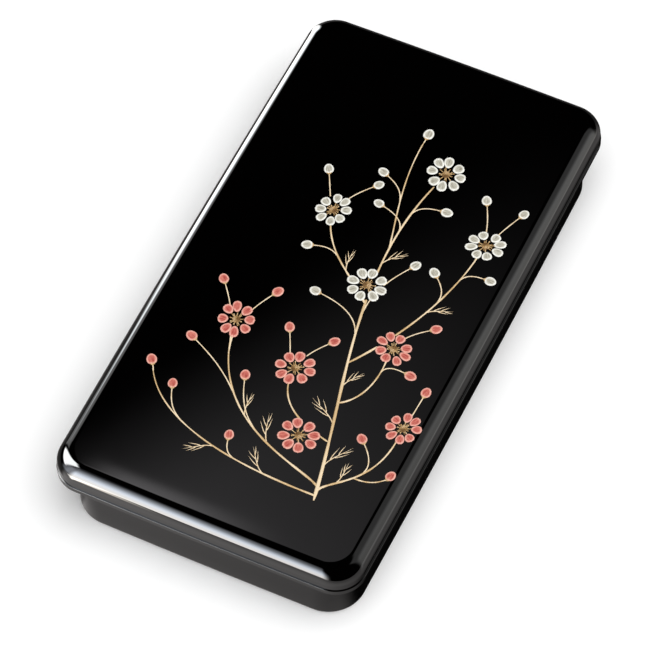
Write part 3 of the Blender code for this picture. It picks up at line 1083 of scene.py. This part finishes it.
# Formula: a point p of the shoulder with normal n mirrors the direction d = v - 2 (v . n) n, where v is the
# line of sight to it. The sheet is p + reach * d, where the shoulder is in sight, lit as the softboxes are in
# that direction and as the streak is where the ray meets the table.
def makeShoulderGlow(cameraPlace):
    g = shoulderGlow
    shoulder = shoulderRings(g["steps"])
    around = np.roll(shoulder, -1, axis=1) - np.roll(shoulder, 1, axis=1)
    normal = np.cross(np.gradient(shoulder, axis=0), around)
    normal /= np.linalg.norm(normal, axis=-1, keepdims=True) * np.sign(normal[..., 2:] + g["flatness"])
    sight = shoulder - np.array(cameraPlace)
    sight /= np.linalg.norm(sight, axis=-1, keepdims=True)
    facing = (sight * normal).sum(axis=-1, keepdims=True)
    mirrored = sight - 2 * facing * normal
    azimuth = azimuthOf(mirrored[..., 0], mirrored[..., 1], g["seam"])
    light = softboxLight(azimuth, np.degrees(np.arcsin(mirrored[..., 2])))
    descent = -mirrored[..., 2]
    onTable = shoulder + mirrored * (shoulder[..., 2] / np.maximum(descent, g["leastDescent"]))[..., None]
    light += streakLight(onTable[..., 0], onTable[..., 1]) * (descent > g["leastDescent"])[..., None]
    light *= facing < g["edgeOn"]
    makeGlow("shoulderGlow", closedRings(shoulder + g["reach"] * mirrored), closedRings(light))
    makeFlag(shoulder, mirrored)


# A black flag along the near and the left side keeps the softboxes out of the flat top, when the box is seen
# from the other side
flag = {
    "turn": 11,            # degrees down the shoulder to the flag's foot, in its unlit part
    "foot": 0.00005,       # how far the foot stands off the lacquer
    "height": 0.024,
    "nearSide": -0.095,    # it stands where y or x is lower than these
    "leftSide": -0.045,
}


# Formula: the flag follows the rays that one row of the shoulder mirrors
def makeFlag(shoulder, mirrored):
    row = round(flag["turn"] / 90 * shoulderGlow["steps"])
    foot, away = closedRings(shoulder[row:row + 1]), closedRings(mirrored[row:row + 1])
    points = foot + np.array([flag["foot"], flag["height"]])[:, None, None] * away
    keep = (foot[..., 1] < flag["nearSide"]) | (foot[..., 0] < flag["leftSide"])
    black = {"Base Color": (0.0, 0.0, 0.0, 1.0), "Roughness": 1.0, "Specular IOR Level": 0.0}
    addSheet("blackFlag", points, np.broadcast_to(keep, points.shape[:2]), paint("blackFlag", black)[0])


# The far and the left wall, which the photograph doesn't show, mirror an upright sheet of light just off
# them. It is too low for the shoulder to mirror it from the photograph's side.
wallGlow = {
    "gap": 0.004,
    "levels": (0.06, 0.30, 0.62, 0.85, 0.95, 0.85, 0.00),   # at even steps from the table to its top
    "rows": 31,
    "leftTop": 0.018,
    "farTop": 0.0245,
    "topStep": (0.010, 0.020),    # how far from the far wall its top is half way up, and over what length
    "leftEnd": (-0.080, 0.030),   # where it is half, along y and along x, and over what length it fades
    "farEnd": (0.040, 0.030),
    "colour": (1.0, 0.98, 0.97),
}


# Formula: the lid's outline set out by the gap and raised in even steps to its top, which climbs from the
# left side's to the far side's round the corner
def makeWallGlow():
    w = wallGlow
    x, y = planRings([-w["gap"]], shell["lidCorner"] + w["gap"], 0.0)[0, :, :2].T
    steps = np.linspace(0, 1, w["rows"])[:, None]
    farShare = softEdge(y, halfLength - w["topStep"][0], w["topStep"][1])
    top = w["leftTop"] + (w["farTop"] - w["leftTop"]) * farShare
    share = softEdge(y, *w["leftEnd"]) * softEnd(x, *w["farEnd"])
    light = share * np.interp(steps, np.linspace(0, 1, len(w["levels"])), w["levels"])
    points = np.stack([x + 0 * steps, y + 0 * steps, top * steps], axis=-1)
    makeGlow("wallGlow", closedRings(points), closedRings(light[..., None] * np.array(w["colour"])))


# The flat top mirrors one small patch overhead, so a panel hangs there. Its places are those on the lid, in
# metres, where they show from the photograph's side. An edge is where the light is half and over what length
# it fades.
overhead = {
    "height": 0.90,
    "columns": (-0.075, 0.062, 70),
    "rows": ((-0.200, -0.112, 30), (-0.111, -0.094, 35), (-0.092, 0.110, 102)),
    "haze": 0.67,
    "hazeSlant": -24.2,              # degrees from x of the way in which the haze grows across the lid
    "hazeEdge": (0.0142, 0.0623),
    "hazeStart": 0.144,              # along the slant it starts here and grows towards the near end
    "hazeLength": 0.25,              # to its whole strength over this length
    "rightEdge": (0.058, 0.004),
    "nearEdge": (-0.150, 0.060),
    "farEdge": (0.095, 0.030),
    "strip": 1.5,                    # the brighter strip along the near border
    "stripEdge": (-0.1035, 0.0045),
    "stripEnds": ((-0.040, 0.020), (0.008, 0.060)),
    "colour": (1.0, 0.97, 1.0),
}


# Formula: a point p on the lid mirrors the panel's point p + (p - c) * climb / drop, where c is the camera's
# place mirrored below the lid, drop how far c lies below it and climb how far the panel hangs above it. The
# haze is a soft edge across the slant times the square of the share of its length that is passed.
def makeOverhead(cameraPlace):
    o = overhead
    rows = np.concatenate([np.linspace(*span) for span in o["rows"]])
    x, y = np.meshgrid(np.linspace(*o["columns"]), rows)
    slant = math.radians(o["hazeSlant"])
    across = math.cos(slant) * x + math.sin(slant) * y
    along = math.cos(slant) * y - math.sin(slant) * x
    passed = np.maximum(o["hazeStart"] - along, 0) / o["hazeLength"]
    haze = o["haze"] * softEdge(across, *o["hazeEdge"]) * passed ** 2
    leftEnd, rightEnd = o["stripEnds"]
    strip = o["strip"] * softEnd(y, *o["stripEdge"]) * softEdge(x, *leftEnd) * softEnd(x, *rightEnd)
    light = (haze + strip) * softEnd(x, *o["rightEdge"])
    light = light * softEdge(y, *o["nearEdge"]) * softEnd(y, *o["farEdge"])
    stretch = (o["height"] - topHeight) / (cameraPlace.z - topHeight)
    points = np.stack([x + (x - cameraPlace.x) * stretch, y + (y - cameraPlace.y) * stretch,
                       np.full_like(x, o["height"])], axis=-1)
    makeGlow("overheadPanel", points, light[..., None] * np.array(o["colour"]))


# The table as the walls mirror it: levels by distance from the box on each of its sides
tableLight = {
    "azimuths": (-210, 150, 361),
    "radii": (0.03, 11.0, 260),
    "depth": 0.0003,           # how far it lies below the floor
    "distances": (0.000, 0.0075, 0.012, 0.020, 0.030, 0.045, 0.070, 0.130, 0.260, 0.600),
    # the low levels close to the box on the near and the right side are a painted shadow of the box on the
    # table
    "nearLevels": (0.45, 0.57, 0.65, 0.95, 1.30, 1.48, 1.55, 1.25, 1.20, 1.20),
    "rightLevels": (0.005, 0.01, 0.07, 0.17, 0.38, 0.53, 0.62, 0.70, 0.72, 0.72),
    "leftLevels": (0.20, 0.50, 0.80, 0.80, 0.40, 0.20, 0.20, 0.20, 0.20, 0.20),
    "farLevels": (0.00, 0.00, 0.01, 0.02, 0.03, 0.05, 0.07, 0.09, 0.10, 0.10),
    "nearFall": 3.0,           # how fast the near levels fall towards the right, for each metre
    "nearFallReach": 0.1,
    # the near side's ends: a place near each corner, the turn there from straight out, and how wide it fades
    "nearLeft": (-0.050, -0.102, 54, 16),
    "nearRight": (0.048, -0.100, 70, 70),
    "farTurn": (62, 24),       # turn from a long side past which the light is the far side's
    "farCorner": 0.010,        # how far inside the box's corner that turn is measured from
    "rightEdge": (0.0, 0.04),
    "colour": (1.02, 0.98, 0.97),
}


# Formula: rings round the box, radius growing by an even factor, each point's light read from its distance
# to the box on its side, the sides passing into one another along soft edges by the turn about the corners
def makeTableLight():
    t = tableLight
    azimuth, radius = np.meshgrid(np.linspace(*t["azimuths"]), np.geomspace(*t["radii"]))
    x, y = radius * np.sin(np.radians(azimuth)), radius * np.cos(np.radians(azimuth))
    overX, overY = np.abs(x) - halfWidth, np.abs(y) - halfLength
    distance = np.hypot(np.maximum(overX, 0), np.maximum(overY, 0))

    def nearShare(cornerX, cornerY, edge, width, towards):
        turn = np.degrees(np.arctan2(towards * (x - cornerX), cornerY - y))
        return softEnd(turn, edge, width)

    near = nearShare(*t["nearLeft"], -1) * nearShare(*t["nearRight"], 1) * (y < 0)
    fromX, fromY = (np.maximum(over + t["farCorner"], 0) for over in (overX, overY))
    far = softEdge(np.degrees(np.arctan2(fromY, fromX)), *t["farTurn"]) * (y > 0)
    right = softEdge(x, *t["rightEdge"])
    nearLevel, farLevel, rightLevel, leftLevel = (np.interp(distance, t["distances"], t[side + "Levels"])
                                                  for side in ("near", "far", "right", "left"))
    fall = 1 - t["nearFall"] * np.clip(x, -t["nearFallReach"], t["nearFallReach"])
    level = near * nearLevel * fall
    level += (1 - near) * (far * farLevel + (1 - far) * (right * rightLevel + (1 - right) * leftLevel))
    points = np.stack([x, y, 0 * x - t["depth"]], axis=-1)
    makeGlow("tableLight", points, level[..., None] * np.array(t["colour"]))


makeWorld()
makeFloor()
makeShoulderGlow(photoPlace)
makeWallGlow()
makeOverhead(photoPlace)
makeTableLight()
print("studio lit")
